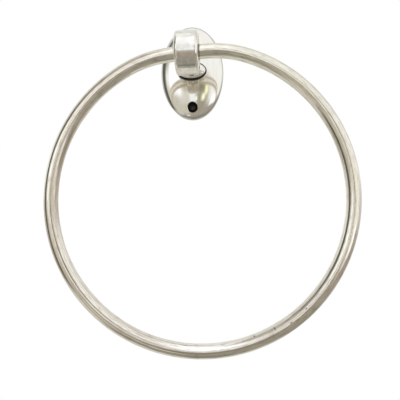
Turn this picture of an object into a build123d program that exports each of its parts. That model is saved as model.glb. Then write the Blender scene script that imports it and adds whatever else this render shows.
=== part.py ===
from build123d import *
import math
import os

# Sizes in millimetres and degrees.
# The wall is the plane Y = 0, the part stands out from it towards -Y, and +Z is up.
# Depths are measured outwards from the wall.

# Ring of drawn bar, flat where its ends are joined inside the eye
rod_diameter = 8.0
ring_mean_diameter = 162.0
ring_flat_length = 34.0
ring_shoulder_radius = 60.0
ring_lean = 3.6
ring_rest_gap = 0.05

# Post: a barrel eye on a neck that rises from a domed foot
eye_standoff = 36.0
eye_diameter = 24.0
eye_width = 12.8
eye_edge_radius = 1.7
rod_clearance = 0.5
bore_mouth_chamfer = 0.4
foot_width = 16.9
foot_height = 10.0
foot_rim = 0.6
foot_rise = 2.0
neck_width = 11.0
neck_height = 8.2
waist_width = 10.2
waist_height = 8.8
waist_distance = 6.0
collar_width = 9.2
collar_height = 12.8
collar_bury = 3.4

# Oval domed base
base_width = 38.2
base_height = 57.8
base_wall = 2.0
rim_depth = 2.2
seat_recess = 1.3
seat_thickness = 1.8
seat_margin = 1.6
recess_side_gap = 0.6
recess_top_gap = 0.5
recess_bottom_gap = 1.2

# Screw and washer that hold the post from behind
post_screw_diameter = 4.0
post_screw_head_diameter = 8.0
post_screw_head_height = 2.2
post_screw_reach = 7.0
post_screw_hole_spare = 2.0
driver_slot_width = 1.2
driver_slot_depth = 1.1
washer_diameter = 8.6
washer_thickness = 0.8
washer_gap = 0.8
screw_head_room = 0.4

# Wall plate hidden inside the base
plate_thickness = 1.2
plate_clearance = 0.5
wall_hole_diameter = 4.5
wall_hole_spacing = 26.0
hook_width = 8.0
hook_overlap = 2.2
hook_clearance = 0.3
ledge_thickness = 1.4
ledge_width = 11.0
ledge_depth = 4.3
ledge_plate_gap = 0.7

# Dark socket screw in the base's lower hole
fixing_screw_inset = 6.9
fixing_screw_diameter = 3.0
fixing_head_diameter = 5.5
fixing_head_height = 2.2
fixing_head_clearance = 0.3
fixing_hole_chamfer = 0.3
boss_wall = 1.4
boss_floor = 1.0
socket_width = 2.5
socket_depth = 1.2
fixing_tip_gap = 0.2

# Fits that recur
thread_clearance = 0.05
shank_clearance = 0.2

# How far a cut runs past the face it opens, and how near a size counts as equal
cut_past = 1.0
tolerance = 0.01

# Depths of the stack, from the wall outwards
head_depth = plate_thickness + screw_head_room
washer_depth = head_depth + post_screw_head_height
pad_depth = washer_depth + washer_thickness
seat_depth = pad_depth + seat_thickness
base_depth = seat_depth + seat_recess
dome_height = base_depth - rim_depth

# Widths and heights of the base's hollow, and how low its screw sits
hollow_width = base_width - 2 * base_wall
hollow_height = base_height - 2 * base_wall
fixing_screw_drop = base_height / 2 - fixing_screw_inset

# The eye and the ring in it, which lies on the lower edge of one mouth
bore_radius = rod_diameter / 2 + rod_clearance
ring_radius = ring_mean_diameter / 2
flat_height = (ring_radius**2 - (ring_flat_length / 2) ** 2) ** 0.5
lean_rise = eye_width / 2 * math.tan(math.radians(ring_lean))
ring_drop = rod_clearance - ring_rest_gap - lean_rise


def oval(width, height, depth, rise=0.0):
    """An upright ellipse parallel to the wall."""
    return Plane.XZ.offset(depth) * Pos(0, rise) * Ellipse(width / 2, height / 2)


def oval_bar(width, height, start, end, rise=0.0):
    """A straight bar of oval section standing out from the wall."""
    return extrude(oval(width, height, start, rise), amount=end - start)


def round_bar(diameter, start, end, rise=0.0):
    """A round bar or hole standing out from the wall."""
    return extrude(Plane.XZ.offset(start) * Pos(0, rise) * Circle(diameter / 2), amount=end - start)


def block(width, low, high, start, end):
    """A block centred across the part, between two heights and two depths."""
    middle = Pos(0, (low + high) / 2)
    return extrude(Plane.XZ.offset(start) * middle * Rectangle(width, high - low), amount=end - start)


def dome(width, height, rim, rise):
    """A straight oval rim with a half ellipsoid on it."""
    half_ball = Rot(90, 0, 0) * Sphere(1, arc_size1=0, align=(Align.CENTER, Align.CENTER, Align.MIN))
    cap = scale(half_ball, by=(width / 2, rise, height / 2))
    return oval_bar(width, height, 0, rim) + Pos(0, -rim, 0) * cap


def make_ring():
    disc = Circle(ring_radius)
    disc -= Pos(0, flat_height) * Rectangle(ring_flat_length, ring_radius, align=(Align.CENTER, Align.MIN))
    disc = fillet(disc.vertices(), ring_shoulder_radius)
    path = Plane.XZ * Pos(0, -flat_height) * disc.face().outer_wire()
    section = Plane(path @ 0, z_dir=path % 0) * Circle(rod_diameter / 2)
    return Pos(0, -eye_standoff, -ring_drop) * Rot(0, -ring_lean, 0) * sweep(section, path)


def make_post():
    along_bar = Pos(0, -eye_standoff, 0) * Rot(0, 90, 0)
    barrel = along_bar * Cylinder(eye_diameter / 2, eye_width)
    barrel = fillet(barrel.edges().filter_by(GeomType.CIRCLE), eye_edge_radius)
    eye_back = eye_standoff - eye_diameter / 2
    foot = Pos(0, -seat_depth, 0) * dome(foot_width, foot_height, foot_rim, foot_rise)
    neck = loft(
        [
            oval(neck_width, neck_height, seat_depth + foot_rim),
            oval(waist_width, waist_height, seat_depth + waist_distance),
            oval(collar_width, collar_height, eye_back + collar_bury),
        ]
    )
    post = barrel + foot + neck
    post -= along_bar * Cylinder(bore_radius, eye_width + 2 * cut_past)
    circles = post.edges().filter_by(GeomType.CIRCLE)
    mouths = circles.filter_by(lambda edge: abs(edge.radius - bore_radius) < tolerance)
    post = chamfer(mouths, bore_mouth_chamfer)
    thread = post_screw_diameter + 2 * thread_clearance
    thread_end = seat_depth + post_screw_reach + post_screw_hole_spare
    return post - round_bar(thread, seat_depth, thread_end)


def make_base():
    outside = dome(base_width, base_height, rim_depth, dome_height)
    inside = dome(hollow_width, hollow_height, rim_depth, dome_height - base_wall)
    recess_width = foot_width + 2 * recess_side_gap
    recess_height = foot_height + recess_top_gap + recess_bottom_gap
    recess_rise = (recess_top_gap - recess_bottom_gap) / 2
    pad_width = recess_width + 2 * seat_margin
    pad_height = recess_height + 2 * seat_margin
    hole_diameter = fixing_head_diameter + 2 * fixing_head_clearance
    boss = round_bar(hole_diameter + 2 * boss_wall, plate_thickness, base_depth, -fixing_screw_drop)
    pad = oval_bar(pad_width, pad_height, pad_depth, seat_depth, recess_rise)
    ledge_bottom = hollow_height / 2 - ledge_depth
    ledge = block(ledge_width, ledge_bottom, base_height / 2, 0, ledge_thickness)
    base = outside - inside
    base += outside & boss
    base += outside & pad
    base += outside & ledge
    base -= oval_bar(recess_width, recess_height, seat_depth, base_depth + cut_past, recess_rise)
    base -= round_bar(post_screw_diameter + 2 * shank_clearance, 0, base_depth)
    head_seat = plate_thickness + boss_floor
    base -= round_bar(hole_diameter, head_seat, base_depth + cut_past, -fixing_screw_drop)
    base -= round_bar(fixing_screw_diameter + 2 * shank_clearance, 0, head_seat, -fixing_screw_drop)
    hole_low = -fixing_screw_drop - hole_diameter / 2 - tolerance
    hole_high = -fixing_screw_drop + hole_diameter / 2 + tolerance
    near_hole = base.edges().filter_by_position(Axis.Z, hole_low, hole_high)
    mouth = near_hole.filter_by_position(Axis.Y, -base_depth, -head_seat - tolerance)
    return chamfer(mouth, fixing_hole_chamfer)


def make_wall_plate():
    plate_width = hollow_width - 2 * plate_clearance
    plate_height = hollow_height - 2 * plate_clearance
    top_edge = hollow_height / 2 - ledge_depth - ledge_plate_gap
    lip_depth = ledge_thickness + hook_clearance
    lip_end = lip_depth + plate_thickness
    sheet = oval_bar(plate_width, plate_height, 0, plate_thickness)
    sheet -= block(base_width, top_edge, base_height, -cut_past, plate_thickness + cut_past)
    riser = block(hook_width, top_edge - plate_thickness, top_edge, 0, lip_end)
    lip_top = top_edge + ledge_plate_gap + hook_overlap
    lip = block(hook_width, top_edge - plate_thickness, lip_top, lip_depth, lip_end)
    plate = sheet + riser + lip
    for rise in (-wall_hole_spacing / 2, wall_hole_spacing / 2):
        plate -= round_bar(wall_hole_diameter, -cut_past, plate_thickness + cut_past, rise)
    thread = fixing_screw_diameter + 2 * thread_clearance
    plate -= round_bar(thread, -cut_past, plate_thickness + cut_past, -fixing_screw_drop)
    return plate


def make_post_screw():
    head = round_bar(post_screw_head_diameter, head_depth, washer_depth)
    shank = round_bar(post_screw_diameter, washer_depth, seat_depth + post_screw_reach)
    slot_half = driver_slot_width / 2
    slot_length = post_screw_head_diameter + cut_past
    slot = block(slot_length, -slot_half, slot_half, head_depth, head_depth + driver_slot_depth)
    return head + shank - slot


def make_lock_washer():
    hole = post_screw_diameter + 2 * shank_clearance
    washer = round_bar(washer_diameter, washer_depth, pad_depth)
    washer -= round_bar(hole, washer_depth, pad_depth)
    gap_half = washer_gap / 2
    gap = block(washer_diameter, -gap_half, gap_half, washer_depth, pad_depth)
    return washer - Pos(washer_diameter / 2, 0, 0) * gap


def make_fixing_screw():
    head_seat = plate_thickness + boss_floor
    head_top = head_seat + fixing_head_height
    head = round_bar(fixing_head_diameter, head_seat, head_top, -fixing_screw_drop)
    shank = round_bar(fixing_screw_diameter, fixing_tip_gap, head_seat, -fixing_screw_drop)
    hexagon = RegularPolygon(socket_width / 2, 6, major_radius=False)
    socket = Plane.XZ.offset(head_top - socket_depth) * Pos(0, -fixing_screw_drop) * hexagon
    return head + shank - extrude(socket, amount=socket_depth)


pieces = {
    "ring": make_ring(),
    "post": make_post(),
    "base": make_base(),
    "post_screw": make_post_screw(),
    "lock_washer": make_lock_washer(),
    "wall_plate": make_wall_plate(),
    "fixing_screw": make_fixing_screw(),
}

os.makedirs("parts", exist_ok=True)
for name, piece in pieces.items():
    export_step(piece, f"parts/{name}.step")
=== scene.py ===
import math

import bpy
from mathutils import Matrix, Vector


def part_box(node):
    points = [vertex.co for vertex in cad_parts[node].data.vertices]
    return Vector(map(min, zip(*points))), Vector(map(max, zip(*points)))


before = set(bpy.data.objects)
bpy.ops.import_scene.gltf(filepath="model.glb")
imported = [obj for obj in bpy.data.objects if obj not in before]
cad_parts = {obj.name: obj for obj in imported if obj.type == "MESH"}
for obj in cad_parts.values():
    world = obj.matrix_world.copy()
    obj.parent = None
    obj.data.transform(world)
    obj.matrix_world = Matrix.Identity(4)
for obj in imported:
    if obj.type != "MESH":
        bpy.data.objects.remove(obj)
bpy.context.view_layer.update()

# Metres, in the part's own frame: the wall is Y = 0, the part faces -Y, and +Z is up.
MM = 0.001

# Where the photograph was taken from
camera_place = Vector((22.7, -300.0, -101.2)) * MM
camera_yaw = math.radians(3.77)
camera_pitch = math.radians(4.40)
camera_roll = math.radians(-1.23)
camera_lens = 44.74
camera_sensor = 36.0
camera_near = 10.0 * MM

# The floor lies well under the ring and ends a little behind the wall plane
floor_height = -0.24
floor_size = 4.0
floor_end = 0.08
floor_colour = (0.86, 0.86, 0.85, 1.0)
floor_glow = 0.35

# Two fields of the room: azimuth, elevation, half width, half height and softness in degrees
backdrop_field = (0, 52, 60, 34, 12)
pale_field = (0, -5, 80, 46, 10)

# Ring, read from the frame
ring_low, ring_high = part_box("ring")
bar_radius = (ring_high.y - ring_low.y) / 2
ring_radius = (ring_high.x - ring_low.x) / 2 - bar_radius
ring_centre = (ring_low + ring_high) / 2
ring_centre.z = ring_low.z + bar_radius + ring_radius

# Eye: its bore, with the bevel at the bore's mouths
bore_margin = 0.85 * MM
bore_radius = bar_radius + bore_margin

# Base: the recess that the post stands in, and the lower hole with its screw
recess_half_width = 9.05 * MM
recess_half_height = 5.85 * MM
recess_centre = Vector((0, 0, -0.35 * MM))
screw_low, screw_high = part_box("fixing_screw")
screw_centre = (screw_low + screw_high) / 2
hole_gap = 0.32 * MM
hole_radius = (screw_high.x - screw_low.x) / 2 + hole_gap
# Radius of the paler middle of the screw's face
face_middle_radius = 1.4 * MM

# Hollow of the base: all that lies within an oval ball whose skin runs inside the shell's thickness
base_low, base_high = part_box("base")
shell_inset = 1.2 * MM
shell_inset_front = 0.9 * MM
ball_half = Vector((base_high.x - shell_inset, -base_low.y - shell_inset_front, base_high.z - shell_inset))

# Where the base is darker: greyer towards its rim by the wall, a painted shadow under the post's foot, and
# painted shade in the recess and on its lower lip
rim_start = -4.2 * MM
rim_full = -3.2 * MM
# Painted shadow on the dome under the post's foot
foot_shadow_centre = Vector((0.5 * MM, 0, -9.3 * MM))
foot_shadow_half_width = 8.5 * MM
foot_shadow_half_height = 4.6 * MM
recess_shade_low = -2.0 * MM
recess_shade_high = 4.0 * MM
lip_shade_low = -5.5 * MM
lip_shade_high = -2.5 * MM

# A hair past the edge of an oval, so that the wall of a recess or a hole counts as inside it
oval_edge = 1.01

# Marks along the bar are drawn out by squeezing the bar's length
draw_line_squeeze = 0.02
scuff_squeeze = 0.13

# How far fine relief stands up
draw_line_relief = 0.008 * MM
brushed_relief = 0.002 * MM
polish_relief = 0.03 * MM
grain_relief = 0.01 * MM

# Scales of the marks on the bar: how often they change in a millimetre of its girth
draw_line_scale = 2.2
streak_scale = 0.85
scuff_scale = 1.5

# Scales of the other noises: how often they change in a metre
haze_scale = 60.0
post_cloud_scale = 260.0
post_patch_scale = 420.0
base_cloud_scale = 120.0
base_wave_scale = 90.0
brushed_scale = (900, 4000, 4000)
rubbed_scale = (700, 700, 70)
steel_grain = 1500.0
sheet_grain = 900.0

# How much lighter the grain of plain steel gets
grain_contrast = 1.15

# Roughness of what isn't polished
# Roughness of the painted shade in the bore, the recess and the hole
painted_shade_roughness = 0.7
cast_roughness = 0.55
turned_roughness = 0.3
spring_roughness = 0.35
sheet_roughness = 0.38

# Colours in linear light
steel_bright = (0.715, 0.70, 0.64, 1.0)
steel_dull = (0.63, 0.61, 0.545, 1.0)
bar_bright = (0.72, 0.685, 0.605, 1.0)
bar_dull = (0.59, 0.55, 0.47, 1.0)
# Polished metal, used for the scuffs and also as painted highlights on the bar
polish_and_highlight = (0.80, 0.785, 0.74, 1.0)
# Cream gives the painted highlight at the bar's top left a warmer tone
cream = (0.64, 0.575, 0.46, 1.0)
tarnish = (0.40, 0.345, 0.29, 1.0)
blush = (0.46, 0.405, 0.34, 1.0)
brown = (0.47, 0.43, 0.345, 1.0)
olive = (0.66, 0.645, 0.545, 1.0)
nicked = (0.30, 0.265, 0.225, 1.0)
rosy = (0.62, 0.56, 0.525, 1.0)
rim_grey = (0.36, 0.35, 0.32, 1.0)
as_cast = (0.30, 0.29, 0.27, 1.0)
turned_steel = (0.55, 0.55, 0.53, 1.0)
spring_steel = (0.40, 0.40, 0.39, 1.0)
sheet_steel = (0.58, 0.58, 0.56, 1.0)
# Painted shade: near-black, dull and not metallic, laid in the bore, the recess, the hole and where the
# bar runs through the eye
painted_shade = (0.020, 0.012, 0.008, 1.0)
screw_black = (0.010, 0.009, 0.008, 1.0)
# The screw's face: paler in the middle, near-black round its edge as painted shade in the hole
face_middle_black = (0.055, 0.047, 0.043, 1.0)

# Stains on the bar, with painted highlights and painted shade among them, in degrees round the ring from
# +X and round the bar outwards from its front
stains_and_painted_light = (
    # middle, half and softness round the ring, the same round the bar, colour, share
    (219, 39, 8, -16, 5, 3, tarnish, 0.95),
    (236, 30, 10, 4, 4, 3, tarnish, 0.8),
    (232, 24, 10, 20, 4, 3, tarnish, 0.6),
    (248, 12, 8, -7, 14, 5, tarnish, 0.5),
    (275, 24, 10, 0, 9, 5, tarnish, 0.7),
    (308, 18, 8, -18, 10, 5, tarnish, 0.6),
    # painted highlights: lighter metal laid where the bar's highlights fall at the bottom and the top
    # left, the top-left one warmed with cream
    (271, 13, 9, -48, 30, 12, polish_and_highlight, 0.9),
    (132, 26, 12, -14, 12, 6, polish_and_highlight, 1.0),
    (128, 28, 10, 3, 11, 5, cream, 0.9),
    (174, 18, 10, -52, 38, 12, blush, 1.0),
    (58, 32, 16, 0, 120, 30, olive, 0.8),
    (54, 28, 14, -26, 11, 6, brown, 0.85),
    (8, 14, 8, -26, 12, 6, brown, 0.6),
    # all round the bar where it runs through the eye: painted shade where the eye shadows the bar
    (93.6, 5.1, 0.4, 0, 200, 10, painted_shade, 0.8),
)

# Nicks in the bar at the ring's lower right
nicks = (
    # middle and half round the ring, the same round the bar
    (290.3, 0.4, -53, 7),
    (298.5, 0.25, -36, 14),
    (304.8, 0.5, -9, 5),
    (312.3, 0.4, -16, 6),
)


def add(tree, kind, inputs=None, **settings):
    """Add a node, set its properties, and set or link the inputs given by name or number."""
    made = tree.nodes.new(kind)
    for name, value in settings.items():
        setattr(made, name, value)
    for key, value in (inputs or {}).items():
        if isinstance(value, bpy.types.NodeSocket):
            tree.links.new(value, made.inputs[key])
        else:
            made.inputs[key].default_value = value
    return made


def calc(tree, operation, first, second=0.0):
    """One step of arithmetic on sockets or numbers."""
    return add(tree, "ShaderNodeMath", {0: first, 1: second}, operation=operation).outputs[0]


def ramp(tree, value, start, end, low=0.0, high=1.0):
    """Ease a value from low to high as it goes from start to end."""
    sockets = {0: value, 1: start, 2: end, 3: low, 4: high}
    return add(tree, "ShaderNodeMapRange", sockets, interpolation_type="SMOOTHSTEP").outputs[0]


def blend(tree, share, first, second):
    """Mix two colours."""
    return add(tree, "ShaderNodeMix", {0: share, 6: first, 7: second}, data_type="RGBA").outputs[2]


def vector_calc(tree, operation, first, second=(0, 0, 0), output=0):
    """One step of arithmetic on vectors."""
    made = add(tree, "ShaderNodeVectorMath", {0: first, 1: second}, operation=operation)
    return made.outputs[output]


def dot(tree, vector, direction):
    """The length of a vector along a fixed direction."""
    return vector_calc(tree, "DOT_PRODUCT", vector, direction, "Value")


def square_distance(tree, first, second):
    """The square of the length of a step made of two steps at right angles."""
    return calc(tree, "ADD", calc(tree, "MULTIPLY", first, first), calc(tree, "MULTIPLY", second, second))


def grey(level, warmth=0.0):
    """A neutral tone, made warmer by taking blue from it."""
    return (level * (1 + 0.5 * warmth), level, level * (1 - warmth), 1.0)


def soft_field(tree, direction, azimuth, elevation, half_width, half_height, softness):
    """How far a direction lies in a soft-edged field of the room, in degrees from +Y and the horizon."""
    turn, lift = math.radians(azimuth), math.radians(elevation)
    ahead = Vector((math.sin(turn) * math.cos(lift), math.cos(turn) * math.cos(lift), math.sin(lift)))
    across = Vector((math.cos(turn), -math.sin(turn), 0))
    above = across.cross(ahead)
    sideways = calc(tree, "ARCTAN2", dot(tree, direction, across), dot(tree, direction, ahead))
    upwards = calc(tree, "ARCSINE", dot(tree, direction, above))
    inside = 1.0
    for angle, half in ((sideways, half_width), (upwards, half_height)):
        near, far = math.radians(half - softness), math.radians(half + softness)
        within = ramp(tree, calc(tree, "ABSOLUTE", angle), near, far, 1.0, 0.0)
        inside = calc(tree, "MULTIPLY", inside, within)
    return inside


def make_world():
    """White behind the object; a soft studio with darker and brighter fields for the metal."""
    world = bpy.data.worlds.new("studio")
    world.use_nodes = True
    tree = world.node_tree
    tree.nodes.clear()
    direction = add(tree, "ShaderNodeTexCoord").outputs["Generated"]
    height = dot(tree, direction, (0, 0, 1))
    far_below = (0.43, 0.425, 0.37, 1.0)
    below = (0.51, 0.46, 0.40, 1.0)
    sky = blend(tree, ramp(tree, height, -0.70, -0.55), far_below, below)
    sky = blend(tree, ramp(tree, height, -0.34, 0.0), sky, grey(0.84, 0.06))
    sky = blend(tree, ramp(tree, height, 0.0, 0.30), sky, grey(1.28, -0.02))
    fields = (
        # azimuth, elevation, half width, half height, softness, tone
        (-8, -20, 57, 22, 6, grey(0.80, 0.05)),
        (-22, -58, 36, 26, 6, grey(0.86, 0.05)),
        (-22, 32, 34, 28, 8, grey(1.45, -0.05)),
        (-116, 46, 29, 24, 7, grey(0.62, 0.05)),
        (-95, -36, 45, 10, 6, grey(0.84, 0.05)),
        (-146, -14, 20, 15, 5, grey(0.78, 0.10)),
        (-160, -38, 5, 5, 2, grey(0.95, 0.05)),
        (128, 6, 30, 12, 6, grey(1.25)),
        (134, -9, 15, 7, 4, grey(1.6, -0.06)),
        (170, -2, 9, 18, 5, grey(0.44, 0.16)),
        (164, 6, 2.5, 4, 2, (1.5, 1.55, 1.0, 1.0)),
        (168, 0, 2.5, 3, 2, (1.7, 1.7, 1.3, 1.0)),
        (179, 0, 1.5, 2, 1, grey(1.7)),
        (-163, 4, 8, 10, 4, grey(0.90, 0.06)),
        (-176, 12, 4, 18, 2, grey(1.32, -0.06)),
        (-174, 46, 9, 20, 5, grey(1.6, -0.06)),
        (-107, 12, 16, 38, 6, (0.15, 0.15, 0.13, 1.0)),
        (-150, 15, 12, 12, 4, grey(1.6, -0.06)),
        (0, -90, 10, 10, 4, (0.28, 0.29, 0.25, 1.0)),
    )
    for *field, tone in fields:
        sky = blend(tree, soft_field(tree, direction, *field), sky, tone)
    path = add(tree, "ShaderNodeLightPath").outputs
    mirrored_twice = calc(tree, "GREATER_THAN", path["Glossy Depth"], 1.5)
    pale = blend(tree, soft_field(tree, direction, *pale_field), grey(1.0, 0.05), grey(1.6))
    sky = blend(tree, mirrored_twice, sky, pale)
    behind = soft_field(tree, direction, *backdrop_field)
    mirrored = calc(tree, "MAXIMUM", path["Is Glossy Ray"], path["Is Transmission Ray"])
    white = calc(tree, "MAXIMUM", path["Is Camera Ray"], calc(tree, "MULTIPLY", mirrored, behind))
    room = add(tree, "ShaderNodeBackground", {"Color": sky, "Strength": 1.0}).outputs[0]
    backdrop = add(tree, "ShaderNodeBackground", {"Color": grey(1.0), "Strength": 1.0}).outputs[0]
    seen = add(tree, "ShaderNodeMixShader", {0: white, 1: room, 2: backdrop}).outputs[0]
    add(tree, "ShaderNodeOutputWorld", {"Surface": seen})
    bpy.context.scene.world = world


def make_floor():
    """A pale floor that keeps the object's shadow and shows white elsewhere."""
    floor_place = (0, floor_end - floor_size / 2, floor_height)
    bpy.ops.mesh.primitive_plane_add(size=floor_size, location=floor_place)
    floor = bpy.context.object
    floor.name = "floor"
    material = bpy.data.materials.new("pale_floor")
    material.use_nodes = True
    tree = material.node_tree
    tree.nodes.clear()
    path = add(tree, "ShaderNodeLightPath").outputs
    seen = calc(tree, "MAXIMUM", path["Is Camera Ray"], path["Is Transmission Ray"])
    paint = add(tree, "ShaderNodeBsdfDiffuse", {"Color": floor_colour}).outputs[0]
    strength = calc(tree, "MULTIPLY", seen, floor_glow)
    glow = add(tree, "ShaderNodeEmission", {"Color": grey(1.0), "Strength": strength}).outputs[0]
    both = add(tree, "ShaderNodeAddShader", {0: paint, 1: glow}).outputs[0]
    add(tree, "ShaderNodeOutputMaterial", {"Surface": both})
    floor.data.materials.append(material)
    floor.visible_glossy = False


def make_camera():
    """The photograph's viewpoint."""
    flat = math.cos(camera_pitch)
    ahead = Vector((-math.sin(camera_yaw) * flat, math.cos(camera_yaw) * flat, math.sin(camera_pitch)))
    right = Vector((math.cos(camera_yaw), math.sin(camera_yaw), 0))
    up = right.cross(ahead)
    rolled_right = right * math.cos(camera_roll) + up * math.sin(camera_roll)
    rolled_up = up * math.cos(camera_roll) - right * math.sin(camera_roll)
    data = bpy.data.cameras.new("camera")
    data.lens = camera_lens
    data.sensor_width = camera_sensor
    data.clip_start = camera_near
    camera = bpy.data.objects.new("camera", data)
    bpy.context.scene.collection.objects.link(camera)
    turned = Matrix((rolled_right, rolled_up, -ahead)).transposed().to_4x4()
    camera.matrix_world = Matrix.Translation(camera_place) @ turned
    bpy.context.scene.camera = camera


def new_metal(name):
    """An empty metal material: its tree, its shader and the place on the piece."""
    material = bpy.data.materials.new(name)
    material.use_nodes = True
    tree = material.node_tree
    shader = tree.nodes["Principled BSDF"]
    shader.inputs["Metallic"].default_value = 1.0
    place = add(tree, "ShaderNodeTexCoord").outputs["Object"]
    return material, tree, shader, place


def noise(tree, place, scale, detail=2.0, roughness=0.5):
    """Soft noise, from 0 to 1."""
    sockets = {"Vector": place, "Scale": scale, "Detail": detail, "Roughness": roughness}
    return add(tree, "ShaderNodeTexNoise", sockets).outputs[0]


def scaled(tree, place, scale):
    """A place with its own scale on each axis."""
    return add(tree, "ShaderNodeMapping", {"Vector": place, "Scale": scale}).outputs[0]


def bump(tree, shader, height, distance):
    """Raise the surface by a height socket."""
    made = add(tree, "ShaderNodeBump", {"Height": height, "Distance": distance, "Strength": 1.0})
    tree.links.new(made.outputs[0], shader.inputs["Normal"])


def finish_with_painted_shade(tree, shader, colour, rough, painted_shade_mask):
    """Give a metal its colour and roughness, with dull near-black painted shade where the shade mask is 1.
    """
    tree.links.new(blend(tree, painted_shade_mask, colour, painted_shade), shader.inputs["Base Color"])
    dulled = calc(tree, "MAXIMUM", rough, calc(tree, "MULTIPLY", painted_shade_mask, painted_shade_roughness))
    tree.links.new(dulled, shader.inputs["Roughness"])
    tree.links.new(calc(tree, "SUBTRACT", 1.0, painted_shade_mask), shader.inputs["Metallic"])


def near_angle(tree, angle, middle, half, softness):
    """1 where an angle lies within half of the middle, in degrees, easing to 0 beyond it."""
    off = calc(tree, "SUBTRACT", angle, math.radians(middle))
    off = calc(tree, "ARCTAN2", calc(tree, "SINE", off), calc(tree, "COSINE", off))
    near, far = math.radians(half - softness), math.radians(half + softness)
    return ramp(tree, calc(tree, "ABSOLUTE", off), near, far, 1.0, 0.0)


def squeezed(tree, along, girth, squeeze):
    """A place on the bar's skin with its length squeezed, so that noise there comes out long."""
    shortened = calc(tree, "MULTIPLY", along, squeeze)
    return add(tree, "ShaderNodeCombineXYZ", {0: shortened, 1: girth}).outputs[0]


def ring_metal():
    """Drawn bar, satin polished, with draw lines, tarnish along them, stained patches, scuffs and nicks;
    painted highlights at the bottom and the top left, and painted shade where the bar runs through the
    eye.
    """
    material, tree, shader, place = new_metal("drawn_bar")
    local = vector_calc(tree, "SUBTRACT", place, ring_centre)
    axes = add(tree, "ShaderNodeSeparateXYZ", {0: local}).outputs
    from_centre = calc(tree, "SQRT", square_distance(tree, axes[0], axes[2]))
    across = calc(tree, "SUBTRACT", from_centre, ring_radius)
    round_ring = calc(tree, "ARCTAN2", axes[2], axes[0])
    round_bar = calc(tree, "ARCTAN2", across, calc(tree, "MULTIPLY", axes[1], -1.0))
    along = calc(tree, "MULTIPLY", round_ring, ring_radius / MM)
    girth = calc(tree, "MULTIPLY", round_bar, bar_radius / MM)
    drawn = squeezed(tree, along, girth, draw_line_squeeze)
    lines = noise(tree, drawn, draw_line_scale, 3.0, 0.65)
    streaks = noise(tree, drawn, streak_scale, 2.0, 0.6)
    haze = noise(tree, place, haze_scale)
    colour = blend(tree, ramp(tree, lines, 0.30, 0.62), bar_dull, bar_bright)
    hazy = ramp(tree, haze, 0.35, 0.60, 0.2, 0.7)
    veil = calc(tree, "MULTIPLY", ramp(tree, streaks, 0.52, 0.66), hazy)
    colour = blend(tree, veil, colour, tarnish)
    for at, reach, fade, side, breadth, edge, tint, share in stains_and_painted_light:
        lengthwise = near_angle(tree, round_ring, at, reach, fade)
        crosswise = near_angle(tree, round_bar, side, breadth, edge)
        inside = calc(tree, "MULTIPLY", lengthwise, crosswise)
        patchy = ramp(tree, streaks, 0.30, 0.55, share * 0.6, share)
        colour = blend(tree, calc(tree, "MULTIPLY", inside, patchy), colour, tint)
    scuffs = noise(tree, squeezed(tree, along, girth, scuff_squeeze), scuff_scale, 2.5)
    colour = blend(tree, ramp(tree, scuffs, 0.50, 0.70, 0.0, 0.65), colour, tarnish)
    colour = blend(tree, ramp(tree, scuffs, 0.30, 0.46, 0.3, 0.0), colour, polish_and_highlight)
    dents = 0.0
    for at, reach, side, breadth in nicks:
        lengthwise = near_angle(tree, round_ring, at, reach, reach * 0.5)
        crosswise = near_angle(tree, round_bar, side, breadth, breadth * 0.4)
        dents = calc(tree, "MAXIMUM", dents, calc(tree, "MULTIPLY", lengthwise, crosswise))
    tree.links.new(blend(tree, dents, colour, nicked), shader.inputs["Base Color"])
    dulled = ramp(tree, haze, 0.35, 0.7, 0.0, 0.03)
    rough = calc(tree, "ADD", ramp(tree, lines, 0.3, 0.7, 0.15, 0.10), dulled)
    tree.links.new(rough, shader.inputs["Roughness"])
    bump(tree, shader, lines, draw_line_relief)
    return material


def post_metal():
    """Cast and polished, worn soft, with painted shade in the bore."""
    material, tree, shader, place = new_metal("worn_post")
    brushed = noise(tree, scaled(tree, place, brushed_scale), 1.0, 3.0)
    cloud = noise(tree, place, post_cloud_scale)
    patches = noise(tree, place, post_patch_scale, 1.0)
    colour = blend(tree, ramp(tree, cloud, 0.35, 0.62), steel_dull, steel_bright)
    colour = blend(tree, ramp(tree, patches, 0.52, 0.68, 0.0, 0.8), colour, rosy)
    off_y = calc(tree, "SUBTRACT", dot(tree, place, (0, 1, 0)), ring_centre.y)
    off_z = dot(tree, place, (0, 0, 1))
    from_axis = calc(tree, "SQRT", square_distance(tree, off_y, off_z))
    # painted shade inside the bore
    painted_shade_mask = calc(tree, "LESS_THAN", from_axis, bore_radius)
    clouded = ramp(tree, cloud, 0.4, 0.7, 0.03, 0.0)
    rough = calc(tree, "ADD", ramp(tree, brushed, 0.3, 0.7, 0.13, 0.08), clouded)
    finish_with_painted_shade(tree, shader, colour, rough, painted_shade_mask)
    bump(tree, shader, brushed, brushed_relief)
    return material


def oval_measure(tree, place, centre, half_width, half_height):
    """Below 1 inside an upright oval that runs along Y, above 1 outside it."""
    shares = []
    for axis, middle, half in (((1, 0, 0), centre.x, half_width), ((0, 0, 1), centre.z, half_height)):
        off = calc(tree, "SUBTRACT", dot(tree, place, axis), middle)
        shares.append(calc(tree, "DIVIDE", off, half))
    return square_distance(tree, *shares)


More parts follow.
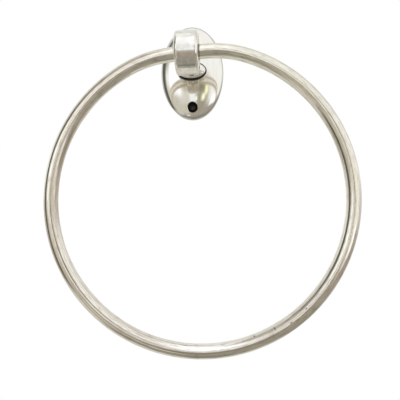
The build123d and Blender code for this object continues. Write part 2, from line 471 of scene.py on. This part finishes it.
def base_metal():
    """Polished bright outside and rough inside, with painted shade in the recess, on its lower lip and in
    the hole, a painted shadow under the post's foot, and greyer towards the wall.
    """
    material, tree, shader, place = new_metal("polished_base")
    cloud = noise(tree, place, base_cloud_scale)
    wave = noise(tree, place, base_wave_scale, 1.0)
    rubbed = noise(tree, scaled(tree, place, rubbed_scale), 1.0)
    colour = blend(tree, ramp(tree, rubbed, 0.36, 0.58, 0.65, 1.0), steel_dull, steel_bright)
    # greyer and darker towards the wall
    rim = ramp(tree, dot(tree, place, (0, 1, 0)), rim_start, rim_full, 0.0, 0.7)
    colour = blend(tree, rim, colour, rim_grey)
    # painted shadow under the post's foot, fading downward
    foot_shadow = oval_measure(tree, place, foot_shadow_centre, foot_shadow_half_width, foot_shadow_half_height)
    colour = blend(tree, ramp(tree, foot_shadow, 0.15, 1.3, 0.8, 0.0), colour, brown)
    in_balls = vector_calc(tree, "DIVIDE", place, ball_half)
    hollow = calc(tree, "LESS_THAN", vector_calc(tree, "LENGTH", in_balls, output="Value"), 1.0)
    colour = blend(tree, hollow, colour, as_cast)
    streaked = ramp(tree, rubbed, 0.35, 0.65, 0.02, 0.0)
    rough = calc(tree, "ADD", ramp(tree, cloud, 0.35, 0.7, 0.10, 0.07), streaked)
    rough = calc(tree, "MAXIMUM", rough, calc(tree, "MULTIPLY", hollow, cast_roughness))
    rise = dot(tree, place, (0, 0, 1))
    recess = oval_measure(tree, place, recess_centre, recess_half_width, recess_half_height)
    # painted shade in the recess, heavier towards its bottom, and on its lower lip
    in_recess = calc(tree, "LESS_THAN", recess, oval_edge)
    low_down = ramp(tree, rise, recess_shade_low, recess_shade_high, 1.0, 0.45)
    lip = ramp(tree, rise, lip_shade_low, lip_shade_high, 1.0, 0.0)
    lip_painted_shade = calc(tree, "MULTIPLY", ramp(tree, recess, 1.0, 1.25, 0.9, 0.0), lip)
    recess_painted_shade = calc(tree, "MAXIMUM", calc(tree, "MULTIPLY", in_recess, low_down), lip_painted_shade)
    # painted shade in the hole round the screw
    hole = oval_measure(tree, place, screw_centre, hole_radius, hole_radius)
    painted_shade_mask = calc(tree, "MAXIMUM", recess_painted_shade, calc(tree, "LESS_THAN", hole, oval_edge))
    finish_with_painted_shade(tree, shader, colour, rough, painted_shade_mask)
    bump(tree, shader, wave, polish_relief)
    return material


def plain_metal(name, colour, roughness, grain):
    """Plain steel with a fine grain."""
    material, tree, shader, place = new_metal(name)
    speckle = noise(tree, place, grain, 4.0)
    light = tuple(min(1.0, channel * grain_contrast) for channel in colour[:3]) + (1.0,)
    tree.links.new(blend(tree, speckle, colour, light), shader.inputs["Base Color"])
    rough = ramp(tree, speckle, 0.3, 0.7, roughness + 0.08, roughness - 0.05)
    tree.links.new(rough, shader.inputs["Roughness"])
    bump(tree, shader, speckle, grain_relief)
    return material


def screw_metal():
    """Blackened, a little paler in the middle of its face and near-black round its edge as painted shade
    in the hole.
    """
    material, tree, shader, place = new_metal("blackened_screw")
    speckle = noise(tree, place, steel_grain, 4.0)
    middle = oval_measure(tree, place, screw_centre, face_middle_radius, face_middle_radius)
    colour = blend(tree, ramp(tree, middle, 0.6, 1.4), face_middle_black, screw_black)
    tree.links.new(colour, shader.inputs["Base Color"])
    tree.links.new(ramp(tree, speckle, 0.3, 0.7, 0.55, 0.42), shader.inputs["Roughness"])
    bump(tree, shader, speckle, grain_relief)
    return material


def dress(node, material):
    """Give a CAD node its material."""
    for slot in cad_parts[node].material_slots:
        slot.material = material


make_world()
make_floor()
make_camera()
dress("ring", ring_metal())
dress("post", post_metal())
dress("base", base_metal())
dress("fixing_screw", screw_metal())
dress("post_screw", plain_metal("turned_steel", turned_steel, turned_roughness, steel_grain))
dress("lock_washer", plain_metal("spring_steel", spring_steel, spring_roughness, steel_grain))
dress("wall_plate", plain_metal("rolled_sheet", sheet_steel, sheet_roughness, sheet_grain))

bpy.context.scene.view_settings.view_transform = "Standard"
